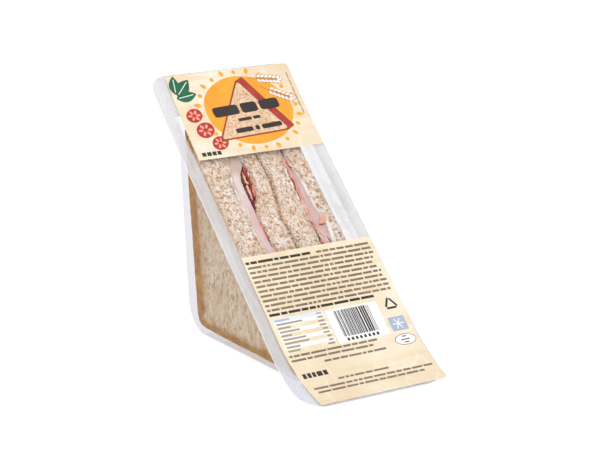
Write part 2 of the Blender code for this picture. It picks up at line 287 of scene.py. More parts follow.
def crumb_look():
    """Wholemeal crumb with bran flecks, a thin crust round it, and painted shade in its pits, face and
    groove.
    """
    look = Look("wholemeal bread")
    crumb = look.ramp(
        look.noise(560.0, 6.0, 0.80),
        (0.36, (190, 160, 130)),
        (0.45, (226, 206, 184)),
        (0.53, (245, 235, 226)),
        (0.62, (255, 254, 252)),
    )
    crumb = look.layered(crumb, ((228, 200, 168), 0.42, 0.62, 0.50, 70.0, 3.0))
    clumps = look.ramp(look.noise(190.0, 3.0, 0.7), (0.42, 0.10), (0.54, 1.0))
    bran = look.patches(0.54, 0.60, 1.0, 480.0, 3.0, 0.6, (1.3, 0.8, 1.0), (0.3, 0.0, 0.2))
    crumb = look.over(crumb, look.math("MULTIPLY", clumps, bran), (206, 148, 100))
    crumb = look.layered(
        crumb,
        ((184, 118, 70), 0.60, 0.65, 0.9, 700.0, 2.0, 0.5, (1.2, 0.8, 1.0), (0.0, 0.4, 0.1)),
        ((132, 84, 54), 0.63, 0.68, 0.8, 620.0, 2.0, 0.5, (1.5, 0.7, 1.0), (0.5, 0.1, 0.3)),
    )
    # Painted shade: the crumb turns browner the deeper its pits are.
    crumb = look.over(crumb, look.ramp(look.attribute("pore_shade"), (0.15, 0.0), (0.75, 0.6)), (182, 134, 92))

    # Painted shade: a darker crumb with its own grain, on the slice's face and in the groove.
    face = look.ramp(
        look.noise(380.0, 6.0, 0.78, (1.0, 0.85, 0.65)),
        (0.36, (184, 154, 114)),
        (0.48, (215, 193, 160)),
        (0.62, (236, 222, 202)),
    )
    face = look.layered(
        face,
        ((240, 234, 220), 0.52, 0.66, 0.34, 480.0, 5.0, 0.8, (1.0, 0.9, 0.6)),
        ((204, 168, 118), 0.38, 0.64, 0.40, 45.0, 3.0),
        ((162, 112, 58), 0.58, 0.64, 0.75, 600.0, 3.0, 0.6, (1.0, 1.0, 0.55)),
    )
    crumb = look.over(crumb, look.attribute("face"), face)

    crust = look.ramp(
        look.noise(200.0, 5.0, 0.7),
        (0.32, (148, 96, 10)),
        (0.52, (178, 122, 26)),
        (0.70, (202, 150, 58)),
    )
    crust = look.layered(
        crust,
        ((134, 84, 28), 0.46, 0.66, 0.35, 60.0, 4.0, 0.65),
        ((212, 170, 104), 0.54, 0.70, 0.30, 130.0, 4.0, 0.7, (1.0, 1.0, 1.0), (0.2, 0.1, 0.0)),
    )
    # The crust attribute carries real crust, and painted shade in the groove and up the slice's face.
    bread = look.over(crumb, look.attribute("crust"), crust)
    look.set(base_color=bread, roughness=0.9, specular_ior_level=0.2)
    look.bump(look.noise(1300.0, 3.0), 0.0004, 0.7)
    return look.material


def ham_look(name, deep, middle, pale):
    """Cut meat: soft clouds along the slice, and a dull tan where the attribute for it is set."""
    look = Look(name)
    clouds = look.noise(140.0, 4.0, 0.6, (1.0, 0.35, 0.35))
    body = look.ramp(clouds, (0.30, deep), (0.52, middle), (0.75, pale))
    body = look.over(body, look.attribute("tan"), (206, 174, 152))
    look.set(base_color=body, roughness=0.42, subsurface_weight=0.15, specular_ior_level=0.3)
    look.shader.inputs["Subsurface Radius"].default_value = (0.004, 0.0015, 0.001)
    look.bump(look.noise(700.0, 3.0), 0.0002, 0.4)
    return look.material


def bacon_look(name, dark, middle, pale):
    """A slice's edge: streaks of lean and fat along it."""
    look = Look(name)
    streaks = look.noise(150.0, 4.0, 0.65, (1.0, 0.6, 0.6))
    body = look.ramp(streaks, (0.34, dark), (0.50, middle), (0.68, pale))
    look.set(base_color=body, roughness=0.36, specular_ior_level=0.22)
    look.bump(look.noise(600.0, 3.0), 0.0002, 0.5)
    return look.material


def sauce_look():
    look = Look("dressing")
    body = look.ramp(look.noise(300.0, 3.0), (0.3, (240, 232, 216)), (0.7, (254, 251, 244)))
    look.set(base_color=body, roughness=0.3)
    look.bump(look.noise(500.0, 3.0), 0.0002, 0.4)
    return look.material


INK_ROUGHNESS = 0.32


def print_look(name, light, dark, scale):
    """One ink of the print, a little uneven, as gravure print on film is."""
    look = Look(name)
    uneven = look.ramp(look.noise(scale, 5.0, 0.65), (0.35, dark), (0.65, light))
    look.set(base_color=uneven, roughness=INK_ROUGHNESS)
    return look.material


def paper_look():
    """The cream ground of the print: soft clouds, a faint grain and faint creases, as on old paper."""
    look = Look("cream ink")
    paper = look.ramp(
        look.noise(22.0, 6.0, 0.6),
        (0.34, (232, 211, 178)),
        (0.50, (239, 223, 194)),
        (0.64, (244, 232, 210)),
    )
    paper = look.layered(paper, ((230, 198, 154), 0.50, 0.62, 0.40, 150.0, 4.0, 0.6, (0.10, 1.0, 1.0)))
    creases = look.noise(60.0, 2.0, 0.5, (1.0, 0.4, 0.4))
    creases = look.ramp(creases, (0.485, 0.0), (0.50, 0.35), (0.515, 0.0))
    look.set(base_color=look.over(paper, creases, (255, 246, 230)), roughness=INK_ROUGHNESS)
    return look.material


# Meshes


def place_object(name, data):
    """An object for a mesh, on the part's one body."""
    made = bpy.data.objects.new(name, data)
    bpy.context.scene.collection.objects.link(made)
    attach(made, "root")
    return made


def add_object(name, points, faces, materials):
    """A smooth piece from points in the lid's axes, sharp only at its corners."""
    data = bpy.data.meshes.new(name)
    data.from_pydata([LID @ Vector(p) for p in points], [], faces)
    data.validate()
    for look in materials:
        data.materials.append(look)
    data.shade_smooth()
    data.set_sharp_from_angle(angle=math.radians(40))
    return place_object(name, data)


def add_tube(name, rings, look):
    """A closed tube through rings of as many points each."""
    size = len(rings[0])
    faces = []
    for i in range(len(rings) - 1):
        for k in range(size):
            a, b = i * size + k, i * size + (k + 1) % size
            faces.append((a, b, b + size, a + size))
    faces.append(tuple(reversed(range(size))))
    faces.append(tuple((len(rings) - 1) * size + k for k in range(size)))
    return add_object(name, [p for ring in rings for p in ring], faces, [look])


def half_width(v, top_round, bottom_round, full):
    """Half the width of a plate with round corners, at this place along the lid."""
    for beyond, radius in (
        (v - (FLANGE_TOP - top_round), top_round),
        (-v - (FLANGE_BOTTOM - bottom_round), bottom_round),
    ):
        if beyond > 0:
            return full - radius + math.sqrt(max(0.0, radius**2 - beyond**2))
    return full


def corner_rows(end, radius, count):
    """Places along the lid that follow a round corner evenly, up to its end."""
    return [end - radius * (1 - math.sin(math.radians(a))) for a in np.linspace(0, 90, count)]


def lid_rows(spacing):
    """Rows from the top of the flange to its bottom, closer where it bends."""
    top = corner_rows(FLANGE_TOP, TOP_CORNER, 10)
    bottom = corner_rows(FLANGE_BOTTOM, BOTTOM_CORNER, 14)
    lip = RIM_FILLET * math.tan(math.radians(22.5))
    lips = list(np.linspace(CAVITY_HALF - lip, CAVITY_HALF + lip, 14))
    deep = list(np.linspace(-0.0105, 0.0105, 21))
    plain = list(np.arange(-0.084, 0.098, spacing))
    rows = sorted([*top, *lips, *deep, *plain, *(-v for v in bottom), *(-v for v in lips)], reverse=True)
    kept = [rows[0]]
    for v in rows[1:]:
        if kept[-1] - v > 0.0003:
            kept.append(v)
    kept[-1] = -FLANGE_BOTTOM
    return kept


def shell(name, upper, lower, materials, pick=None):
    """A closed thin shell between two faces, each given as rows of as many points."""
    rows, columns = len(upper), len(upper[0])
    points = [p for face in (upper, lower) for row in face for p in row]
    below = rows * columns
    faces, slots = [], []
    for i in range(rows - 1):
        for j in range(columns - 1):
            a = i * columns + j
            quad = (a, a + columns, a + columns + 1, a + 1)
            faces.append(quad)
            faces.append(tuple(below + k for k in reversed(quad)))
            slots += [pick(i, j) if pick else 0] * 2
    top = list(range(columns))
    right = [i * columns + columns - 1 for i in range(1, rows - 1)]
    bottom = [(rows - 1) * columns + j for j in reversed(range(columns))]
    left = [i * columns for i in reversed(range(1, rows - 1))]
    rim = [*top, *right, *bottom, *left]
    for i in range(len(rim)):
        faces.append((rim[i], rim[i - 1], below + rim[i - 1], below + rim[i]))
        slots.append(len(materials) - 1)
    made = add_object(name, points, faces, materials)
    mesh = bmesh.new()
    mesh.from_mesh(made.data)
    for face, slot in zip(mesh.faces, slots):
        face.material_index = slot
    bmesh.ops.remove_doubles(mesh, verts=mesh.verts, dist=1e-6)
    bmesh.ops.dissolve_degenerate(mesh, edges=mesh.edges, dist=1e-6)
    mesh.to_mesh(made.data)
    mesh.free()
    return made


def cavity_depth(v, offset):
    """Depth of the cavity's middle line: two slopes, a round rear edge and round lips into the flange."""
    along = abs(v)
    deep_round = DEEP_FILLET + offset
    lip_round = RIM_FILLET - offset
    arc_centre = CAVITY_HALF - DEEP_FILLET * math.sqrt(2)
    lip_centre = CAVITY_HALF + RIM_FILLET * math.tan(math.radians(22.5))
    if along <= deep_round / math.sqrt(2):
        return arc_centre + math.sqrt(deep_round**2 - along**2)
    if along <= lip_centre - lip_round / math.sqrt(2):
        return CAVITY_HALF + offset * math.sqrt(2) - along
    if along < lip_centre:
        return RIM_FILLET - math.sqrt(lip_round**2 - (lip_centre - along) ** 2)
    return offset


def bent(u, v, n):
    """The point after the curl, which fades out with depth below the flange."""
    share = max(0.0, 1.0 + min(n, 0.0) / CURL_REACH)
    return (u, v, n + curl(v) * share)


FLANGE_COLUMNS = 6
WALL_COLUMNS = 14
FILLET_COLUMNS = 8
FLOOR_COLUMNS = 10


def tray_row(v, offset):
    depth = cavity_depth(v, offset)
    edge = half_width(v, TOP_CORNER, BOTTOM_CORNER, HALF_WIDTH)
    rim = min(HALF_WIDTH - FLANGE_STRIP, edge * 0.9) + offset
    fillet = min(SIDE_FILLET, cavity_depth(v, 0.0) * 0.45) + offset
    foot = rim - DRAFT * (depth - fillet)
    half = [(edge + (rim - edge) * s, -offset) for s in np.linspace(0, 1, FLANGE_COLUMNS)]
    half += [(rim + (foot - rim) * s, -(depth - fillet) * s) for s in np.linspace(0, 1, WALL_COLUMNS)[1:]]
    for angle in np.radians(np.linspace(0, 90, FILLET_COLUMNS))[1:]:
        half.append((foot - fillet + fillet * math.cos(angle), fillet - depth - fillet * math.sin(angle)))
    inner = half[-1][0]
    half += [(inner * (1 - s), -depth) for s in np.linspace(0, 1, FLOOR_COLUMNS)[1:]]
    half = [(u, min(n, -offset)) for u, n in half]
    left = [bent(-u, v, n) for u, n in half]
    right = [bent(u, v, n) for u, n in reversed(half[:-1])]
    return [*left, *right]


def make_tray():
    rows = lid_rows(0.0022)
    columns = len(tray_row(0.0, 0.0))

    def pick(i, j):
        return 1 if min(j, columns - 2 - j) < FLANGE_COLUMNS - 1 or cavity_depth(rows[i], 0.0) < 0.0002 else 0

    upper = [tray_row(v, 0.0) for v in rows]
    lower = [tray_row(v, SHEET) for v in rows]
    made = shell("clear_tray", upper, lower, [wall_look(), flange_look(), edge_look()], pick)
    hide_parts("tray")


def crinkle(u, v):
    """Slack in the film: low broad waves over the cavity, none along the sealed flange."""
    inside = min(1.0, max(0.0, (HALF_WIDTH - FLANGE_STRIP - abs(u)) / 0.006))
    inside *= min(1.0, max(0.0, (CAVITY_HALF - abs(v)) / 0.010))
    wave = ripple(u * 60, v * 28, 0.0) + 0.4 * ripple(u * 150, v * 90, 3.0)
    return 0.00018 * inside * wave


def film_edges(v):
    left = half_width(v, TOP_CORNER, BOTTOM_CORNER, HALF_WIDTH) - FILM_MARGIN
    right = half_width(v, FILM_CORNER, FILM_CORNER, HALF_WIDTH)
    return -left, right


def lid_point(u, v, lift):
    """A point on the film's upper face, or a little above it."""
    return (u, v, GAP + FILM + curl(v) + crinkle(u, v) + lift)


def slack_shade_share(u, v):
    """Painted shade where the film hangs slack: most over the empty side, a little over the food, not on the
    flange.
    """
    empty = min(1.0, max(0.0, (u - 0.0265) / 0.003))
    inside = min(1.0, max(0.0, (HALF_WIDTH - 0.002 - abs(u)) / 0.004))
    return inside * (0.03 + 0.97 * empty)


def make_film():
    top, bottom = FLANGE_TOP - FILM_MARGIN, -FLANGE_BOTTOM + FILM_MARGIN
    rows = [top, *(v for v in lid_rows(0.0015) if bottom + 0.0003 < v < top - 0.0003), bottom]
    upper, lower = [], []
    for v in rows:
        left, right = film_edges(v)
        line = [left + (right - left) * s for s in np.linspace(0, 1, 58)]
        upper.append([lid_point(u, v, 0.0) for u in line])
        lower.append([lid_point(u, v, -FILM) for u in line])
    made = shell("clear_film", upper, lower, [film_look()])
    points, _ = vertex_arrays(made.data)
    # The share of painted shade in the film's haze.
    set_attribute(made.data, "slack", np.array([slack_shade_share(p[0], p[1]) for p in points]))
    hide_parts("lid_film")


# Print: places and sizes in it are in millimetres from the middle of the lid

INK = 0.00003
INK_GRID = 0.0025

# Inks, each as its light tone, its dark tone and the scale of its unevenness.
INK_TONES = {
    "dark": ((52, 40, 34), (36, 28, 24), 60.0),
    "sepia": ((142, 122, 104), (114, 98, 84), 60.0),
    "straw": ((214, 150, 70), (186, 116, 48), 60.0),
    "grey": ((168, 156, 142), (150, 138, 124), 60.0),
    "white": ((252, 252, 252), (242, 243, 245), 60.0),
    "pale blue": ((228, 234, 243), (218, 227, 239), 60.0),
    "blue": ((176, 190, 208), (160, 176, 198), 60.0),
    "orange": ((254, 172, 48), (248, 158, 36), 80.0),
    "green": ((20, 112, 72), (10, 92, 56), 60.0),
    "tan": ((240, 212, 180), (214, 170, 128), 500.0),
    "brown": ((168, 74, 36), (140, 54, 26), 60.0),
    "red": ((214, 52, 44), (168, 26, 34), 160.0),
    "pink": ((248, 184, 158), (238, 146, 124), 160.0),
}
INKS = {name: print_look(name + " ink", *tones) for name, tones in INK_TONES.items()}
INKS["cream"] = paper_look()


def ink(name, level, colour, outlines):
    """A field of print: closed outlines laid on the film, cut finely enough to follow its bends."""
    mesh = bmesh.new()
    for outline in outlines:
        mesh.faces.new([mesh.verts.new((u * MM, v * MM, 0.0)) for u, v in outline])
    bmesh.ops.triangulate(mesh, faces=mesh.faces)
    for axis in (0, 1):
        values = [vertex.co[axis] for vertex in mesh.verts]
        for at in np.arange(math.ceil(min(values) / INK_GRID), max(values) / INK_GRID) * INK_GRID:
            spot, normal = [0.0] * 3, [0.0] * 3
            spot[axis], normal[axis] = float(at), 1.0
            geometry = [*mesh.verts, *mesh.edges, *mesh.faces]
            bmesh.ops.bisect_plane(mesh, geom=geometry, dist=1e-7, plane_co=spot, plane_no=normal)
    for vertex in mesh.verts:
        vertex.co = LID @ Vector(lid_point(vertex.co.x, vertex.co.y, level * INK))
    bmesh.ops.recalc_face_normals(mesh, faces=mesh.faces)
    out = LID.to_3x3() @ Vector((0.0, 0.0, 1.0))
    backward = [face for face in mesh.faces if face.normal.dot(out) < 0]
    bmesh.ops.reverse_faces(mesh, faces=backward)
    data = bpy.data.meshes.new(name)
    mesh.to_mesh(data)
    mesh.free()
    data.materials.append(INKS[colour])
    made = place_object(name, data)
    thick = made.modifiers.new("ink", "SOLIDIFY")
    thick.thickness = INK * 0.9
    thick.offset = -1.0


def way(angle):
    """Steps across and up for a step of one this many degrees from the right."""
    return math.cos(math.radians(angle)), math.sin(math.radians(angle))


def box_outline(left, bottom, right, top):
    return [(left, bottom), (right, bottom), (right, top), (left, top)]


def oval_outline(u, v, wide, high, turn=0.0, count=28, wobble=0.0, seed=0.0):
    """An oval of these half sizes in millimetres, turned by this many degrees, with a wavy edge if asked."""
    points = []
    for angle in np.linspace(0, 2 * math.pi, count, endpoint=False):
        swell = 1 + wobble * (math.sin(3 * angle + seed) + 0.6 * math.sin(7 * angle + 2 * seed))
        points.append((wide * swell * math.cos(angle), high * swell * math.sin(angle)))
    return turned(points, u, v, turn)


def word_bars(rng, left, right, v, high, longest=9.0):
    """A line of plain bars, as long as words are, in place of text."""
    bars, u = [], left
    while u < right - 1.0:
        wide = min(rng.uniform(1.6, longest), right - u)
        bars.append(box_outline(u, v, u + wide, v + high))
        u += wide + 0.75
    return bars


def stroke_outline(points, width):
    """A stroke of even width along a line of points."""
    left, right = [], []
    for i, (u, v) in enumerate(points):
        (ua, va), (ub, vb) = points[max(i - 1, 0)], points[min(i + 1, len(points) - 1)]
        length = math.hypot(ub - ua, vb - va)
        a, b = -(vb - va) / length * width / 2, (ub - ua) / length * width / 2
        left.append((u + a, v + b))
        right.append((u - a, v - b))
    return [*left, *reversed(right)]


def grain_outline(u, v, length, wide, turn):
    """A pointed oval, like a grain or a leaf, with its tip the way it is turned."""
    points = []
    for side in (1, -1):
        for step in np.linspace(0, 1, 9)[:-1]:
            share = step if side > 0 else 1 - step
            out = max(0.0, math.sin(math.pi * share)) ** 0.8 * (1.2 - 0.5 * share)
            points.append((length * share, side * wide * out))
    return turned(points, u, v, turn)


def turned(points, u, v, turn):
    """Points turned by this many degrees about their own zero, which goes to u, v."""
    c, s = way(turn)
    return [(u + a * c - b * s, v + a * s + b * c) for a, b in points]


CORNER_POINTS = 5


def rounded(corners, radius):
    """An outline through these corners, each cut round by a curve that starts radius away from it."""
    points = []
    for i, corner in enumerate(corners):
        before, after = Vector(corners[i - 1]), Vector(corners[(i + 1) % len(corners)])
        here = Vector(corner)
        start = here + (before - here).normalized() * radius
        end = here + (after - here).normalized() * radius
        for t in np.linspace(0, 1, CORNER_POINTS):
            points.append(tuple((1 - t) ** 2 * start + 2 * t * (1 - t) * here + t**2 * end))
    return points


def shrunk(outline, share):
    """An outline at this share of its size, about its own middle."""
    centre = np.mean(outline, axis=0)
    return [tuple(centre + (np.array(p) - centre) * share) for p in outline]


def line_along(u, v, turn, start, end):
    """The ends of a line that starts and ends this far from u, v, the way it is turned."""
    c, s = way(turn)
    return [(u + start * c, v + start * s), (u + end * c, v + end * s)]


LABEL_SLOPE = 3.0

# The sun's middle and half sizes, and the corners of the sign in front of it.
SUN = (7.5, 80.0, 26.0, 21.8)
SIGN = ((-17.5, 62.5), (27.5, 64.5), (7.5, 100.5))

# Leaves as place, length, width and turn, tomato slices as middle and size, ears as foot and turn.
LEAVES = (
    ((-31.5, 92.0), 12.5, 3.6, 8.0),
    ((-30.5, 93.5), 13.5, 3.8, 44.0),
    ((-31.0, 94.5), 11.5, 3.2, 80.0),
)
TOMATOES = ((-25.6, 80.5, 5.0), (-22.8, 70.8, 5.6), (-17.6, 61.8, 5.0))
EARS = ((19.5, 99.0, -10.0), (24.0, 91.0, -30.0))
GRAIN = (4.2, 1.0)
GRAIN_STEP = 2.3


def make_sun():
    """A broad orange sun with short rays, behind the sign."""
    disc = oval_outline(SUN[0], SUN[1], SUN[2], SUN[3], 0.0, 90, 0.012, 1.0)
    ink("sun_disc", 2, "orange", [disc])
    rays = []
    for i, angle in enumerate(range(0, 360, 15)):
        c, s = way(angle)
        near, far = 1.06, 1.18 + 0.06 * (i % 2)
        tip = (SUN[0] + SUN[2] * far * c, SUN[1] + SUN[3] * far * s)
        root = (SUN[0] + SUN[2] * near * c, SUN[1] + SUN[3] * near * s)
        turn = math.degrees(math.atan2(tip[1] - root[1], tip[0] - root[0]))
        rays.append(grain_outline(*root, math.dist(root, tip), 1.25, turn))
    ink("sun_rays", 2, "orange", rays)


def make_sign(rng):
    """A plain sign of a sandwich half: a three-cornered slice over its filling and the slice behind."""
    back = [(u + 3.2, v + 1.6) for u, v in SIGN]
    layers = [(u + 1.7, v + 0.85) for u, v in SIGN]
    ink("sign_back", 3, "brown", [rounded(back, 3.0)])
    ink("sign_filling", 4, "red", [rounded(layers, 3.0)])
    ink("sign_crust", 5, "brown", [rounded(SIGN, 3.0)])
    inner = shrunk(SIGN, 0.925)
    ink("sign_crumb", 6, "tan", [rounded(inner, 2.6)])
    flecks = []
    while len(flecks) < 130:
        a, b = sorted((rng.random(), rng.random()))
        shares = (a, b - a, 1 - b)
        if min(shares) > 0.045:
            u, v = (sum(s * p[k] for s, p in zip(shares, inner)) for k in (0, 1))
            flecks.append(oval_outline(u, v, rng.uniform(0.2, 0.5), 0.2, rng.uniform(0, 180), 8))
    ink("sign_flecks", 7, "brown", flecks)


def bar_row(left, low, high, widths, space, radius):
    """Bars with round ends in a sloping row, in place of words."""
    bars, u = [], left
    slope = math.tan(math.radians(LABEL_SLOPE))
    for wide in widths:
        outline = rounded(box_outline(0.0, 0.0, wide, high), radius)
        bars.append(turned(outline, u, low + slope * (u - left), LABEL_SLOPE))
        u += wide + space
    return bars


def make_title():
    """Rows of plain bars where the words would be."""
    ink("title_bars", 8, "dark", bar_row(-14.0, 77.4, 6.2, (15.5, 10.0, 12.0), 1.6, 1.9))
    ink("subtitle_bars", 8, "dark", bar_row(-1.4, 73.4, 1.9, (8.2, 4.4), 1.0, 0.7))
    ink("third_bars", 8, "dark", bar_row(-5.6, 66.2, 2.9, (10.6, 2.6, 12.4), 1.5, 1.2))


def make_leaves():
    """Three leaves at the top left, each over the last, with a vein down the middle."""
    for i, (place, length, wide, turn) in enumerate(LEAVES):
        ink(f"leaf_{i}", 3 + 2 * i, "green", [grain_outline(*place, length, wide, turn)])
        vein = line_along(*place, turn, 1.5, length - 2)
        ink(f"leaf_vein_{i}", 4 + 2 * i, "white", [stroke_outline(vein, 0.45)])


def make_tomatoes():
    """Round slices down the left, each with six cells."""
    slices, cells = [], []
    for u, v, size in TOMATOES:
        slices.append(oval_outline(u, v, size, size * 0.82, 30.0, 36))
        for angle in range(0, 360, 60):
            c, s = way(angle)
            start = (u + size * 0.2 * c, v + size * 0.18 * s)
            cells.append(grain_outline(*start, size * 0.58, size * 0.15, angle))
    ink("tomato_slices", 3, "red", slices)
    ink("tomato_cells", 4, "pink", cells)


def make_ears():
    """Ears of grain at the top right: pairs of grains up a stem, and one at its tip."""
    ears, stems = [], []
    for u, v, turn in EARS:
        stem = line_along(u, v, turn, -5, 12)
        stems.append(stroke_outline(stem, 0.5))
        c, s = way(turn)
        for step in np.arange(6) * GRAIN_STEP:
            for side in (1, -1):
                place = (u + step * c - side * 0.5 * s, v + step * s + side * 0.5 * c)
                ears.append(grain_outline(*place, *GRAIN, turn + side * 30))
        ears.append(grain_outline(*stem[1], *GRAIN, turn))
    ink("ear_stems", 4, "straw", stems)
    ink("ear_rims", 5, "straw", ears)
    ink("ears", 6, "white", [shrunk(ear, 0.72) for ear in ears])


def make_top_print(rng):
    top_edge = (FLANGE_TOP - FILM_MARGIN) / MM - 0.3
    panel = [(-34.0, 52.8), (42.1, 52.8), (42.1, 104.6), (41.4, 106.0), (39.6, top_edge), (-33.4, top_edge)]
    ink("top_panel", 1, "cream", [panel])
    make_sun()
    make_sign(rng)
    make_title()
    make_leaves()
    make_tomatoes()
    make_ears()
    ink("weight_blocks", 5, "dark", word_bars(rng, -31.0, -18.0, 54.8, 2.3, 3.2))
    ink("side_bars", 2, "grey", [box_outline(38.7, v, 39.5, v + 3.9) for v in np.arange(73.5, 98.0, 4.6)])


def make_table(rng):
    """A plain table: a header, striped rows and bars in place of words and values."""
    left, right, top, bottom = -34.2, -4.9, -45.1, -65.1
    rows = 9
    high = (top - bottom) / rows
    ink("table_field", 2, "white", [box_outline(left, bottom, right, top)])
    stripes = [box_outline(left, top - (i + 1) * high, right, top - i * high) for i in range(2, rows, 2)]
    ink("table_stripes", 3, "cream", stripes)
    ink("table_header", 3, "pale blue", [box_outline(left, top - high, right, top)])
    bars = []
    for i in range(rows):
        v = top - (i + 0.74) * high
        wide = rng.uniform(5.0, 15.0)
        bars.append(box_outline(left + 1.0, v, left + 1.0 + wide, v + 0.95))
        bars.append(box_outline(right - 1.2 - rng.uniform(2.4, 4.0), v, right - 1.2, v + 0.95))
    ink("table_bars", 4, "grey", bars[2:])
    ink("table_header_bars", 4, "blue", bars[:2])


def make_bar_field(rng):
    """A white field with plain upright bars of uneven width."""
    ink("bar_field", 2, "white", [box_outline(-3.9, -65.4, 26.9, -45.8)])
    bars, u = [], 0.8
    while u < 21.3:
        wide = rng.choice((0.33, 0.33, 0.66, 0.99))
        bars.append(box_outline(u, -62.0, u + wide, -46.8))
        u += wide + rng.choice((0.33, 0.33, 0.66))
    dots = [box_outline(1.6 + 2.5 * i, -64.6, 3.0 + 2.5 * i, -62.9) for i in range(8)]
    ink("bars", 3, "dark", [*bars, *dots])


# The loop's middle and size, the flake's middle and reach, the oval's middle and its bars' half widths.
LOOP = (34.7, -49.0, 4.3)
LOOP_SHARES = (0.09, 0.86)
FLAKE = (33.8, -60.6, 3.3)
OVAL = (33.4, -70.2)
OVAL_BARS = ((1.2, 1.6), (2.6, -0.3), (1.4, -2.0))


def make_signs():
    """Plain signs at the right: a three-cornered loop, a snowflake on a tile, and an oval with bars."""
    u, v, size = LOOP
    corners = [(u + size * math.cos(a), v + size * math.sin(a)) for a in np.radians([90, 210, 330])]
    loop = []
    for (ua, va), (ub, vb) in zip(corners, corners[1:] + corners[:1]):
        ends = [(ua + share * (ub - ua), va + share * (vb - va)) for share in LOOP_SHARES]
        loop.append(stroke_outline(ends, 1.15))
    ink("loop_sign", 2, "dark", loop)

    u, v, size = FLAKE
    ink("tile", 2, "blue", [box_outline(u - 4.8, v - 4.1, u + 4.8, v + 4.1)])
    for i, letter in enumerate("abc"):
        arm = line_along(u, v, 60 * i, -size, size)
        ink(f"flake_{letter}", 3 + i, "white", [stroke_outline(arm, 0.55)])

    u, v = OVAL
    ink("oval_rim", 2, "dark", [oval_outline(u, v, 6.3, 3.3)])
    ink("oval_field", 3, "white", [oval_outline(u, v, 6.0, 3.0)])
    lines = [box_outline(u - wide, v + up, u + wide, v + up + 0.6) for wide, up in OVAL_BARS]
    ink("oval_bars", 4, "dark", lines)


def make_bottom_print(rng):
    """The lower label: lines of plain bars, a table, a field of upright bars and a few signs."""
    left = [(-35.6, -7.8), (-36.0, -30.0), (-36.2, -60.0), (-35.2, -80.0), (-33.4, -98.6)]
    right = [(40.2, -98.6), (41.2, -97.8), (41.7, -96.2), (41.5, -70.0), (42.1, -50.0), (42.1, -7.8)]
    ink("bottom_panel", 1, "cream", [[*left, *right]])
    rows = np.linspace(-12.4, -43.4, 12)
    bold, plain = word_bars(rng, -34.6, 3.5, rows[0], 1.5), word_bars(rng, 7.0, 39.0, rows[0], 1.3)
    for v in rows[1:-1]:
        plain += word_bars(rng, -34.6, rng.uniform(37.5, 39.5), v, 1.3)
    bold += word_bars(rng, -34.6, 27.6, rows[-1], 1.5)
    for v, start, end in (
        (-67.6, -34.0, 19.0),
        (-70.2, -34.0, 14.0),
        (-73.6, -16.7, 21.5),
        (-85.2, -15.0, 15.0),
        (-88.6, -31.0, 39.0),
        (-91.2, -30.0, 33.0),
    ):
        plain += word_bars(rng, start, end, v, 1.2)
    ink("small_bars", 2, "sepia", plain)
    ink("bold_bars", 2, "dark", bold)
    ink("lower_weight_blocks", 2, "dark", word_bars(rng, -32.6, -18.5, -80.9, 2.9, 3.2))
    make_table(rng)
    make_bar_field(rng)
    make_signs()


def make_print():
    rng = random.Random(7)
    make_top_print(rng)
    make_bottom_print(rng)


# Food


def remeshed(name, node, voxel, look):
    """A fine even copy of a CAD node's solid."""
    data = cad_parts[node].data.copy()
    made = bpy.data.objects.new(name, data)
    bpy.context.scene.collection.objects.link(made)
    remesh = made.modifiers.new("even", "REMESH")
    remesh.mode = "VOXEL"
    remesh.voxel_size = voxel
    smooth = made.modifiers.new("soften", "SMOOTH")
    smooth.factor = 0.5
    smooth.iterations = 3
    graph = bpy.context.evaluated_depsgraph_get()
    fine = bpy.data.meshes.new_from_object(made.evaluated_get(graph))
    made.modifiers.clear()
    made.data = fine
    fine.name = name
    fine.materials.clear()
    fine.materials.append(look)
    fine.shade_smooth()
    return made


def vertex_arrays(mesh):
    """Points in the lid's axes, and normals there."""
    count = len(mesh.vertices)
    points, normals = np.empty(count * 3, np.float32), np.empty(count * 3, np.float32)
    mesh.vertices.foreach_get("co", points)
    mesh.vertices.foreach_get("normal", normals)
    back = np.array(LID.inverted())
    return points.reshape(-1, 3) @ back[:3, :3].T + back[:3, 3], normals.reshape(-1, 3) @ back[:3, :3].T


def put_points(mesh, points):
    lid = np.array(LID)
    world = points @ lid[:3, :3].T + lid[:3, 3]
    mesh.vertices.foreach_set("co", world.astype(np.float32).ravel())
    mesh.update()


def set_attribute(mesh, name, values):
    made = mesh.attributes.new(name, "FLOAT", "POINT")
    made.data.foreach_set("value", values.astype(np.float32))


CUT_REACH = 0.0042


def cut_edges(node):
    """Rows of a CAD layer at the cut, in the lid's axes: place along the lid, left end and right end."""
    points, _ = vertex_arrays(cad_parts[node].data)
    rows = {}
    for u, v, n in points:
        if n > -CUT_REACH:
            rows.setdefault(round(float(v), 5), []).append(float(u))
    return [(v, min(us), max(us)) for v, us in sorted(rows.items(), reverse=True)]


def edge_at(rows, v, side):
    """Where a layer's left (1) or right (2) end is at this place along the lid."""
    return float(np.interp(-v, [-row[0] for row in rows], [row[side] for row in rows]))


CRUST_LINES = ((SLICE_TOP, SLICE_CORNER), (SLICE_CORNER, SLICE_FRONT))


def crust_depth(v):
    """Depth of the slices' crust under this place along the lid."""
    (top, cut), (corner, deep), (front, _) = SLICE_TOP, SLICE_CORNER, SLICE_FRONT
    back = deep + (cut - deep) * (v - corner) / (top - corner)
    base = deep + (cut - deep) * (corner - v) / (corner - front)
    return -max(back, base)


def crust_distance(points):
    """Distance of each point from the nearer of the slice's two crust edges, seen from the side."""
    nearest = np.full(len(points), 1.0)
    for (v0, n0), (v1, n1) in CRUST_LINES:
        along = np.array([v1 - v0, n1 - n0])
        along /= np.linalg.norm(along)
        offset = points[:, 1:] - np.array([v0, n0])
        nearest = np.minimum(nearest, np.abs(offset[:, 0] * along[1] - offset[:, 1] * along[0]))
    return nearest


BREAD_SIDES = (
    ("bread_outer_a", -1, 2, 0),
    ("bread_inner_a", 0, 1, 2),
    ("bread_inner_b", 0, 2, 1),
    ("bread_outer_b", 1, 1, 0),
)


def side_distance(rows, points, side):
    """Distance across the pack of each point from a layer's left (1) or right (2) end at the cut."""
    edge = np.interp(-points[:, 1], [-row[0] for row in rows], [row[side] for row in rows])
    return np.abs(points[:, 0] - edge)


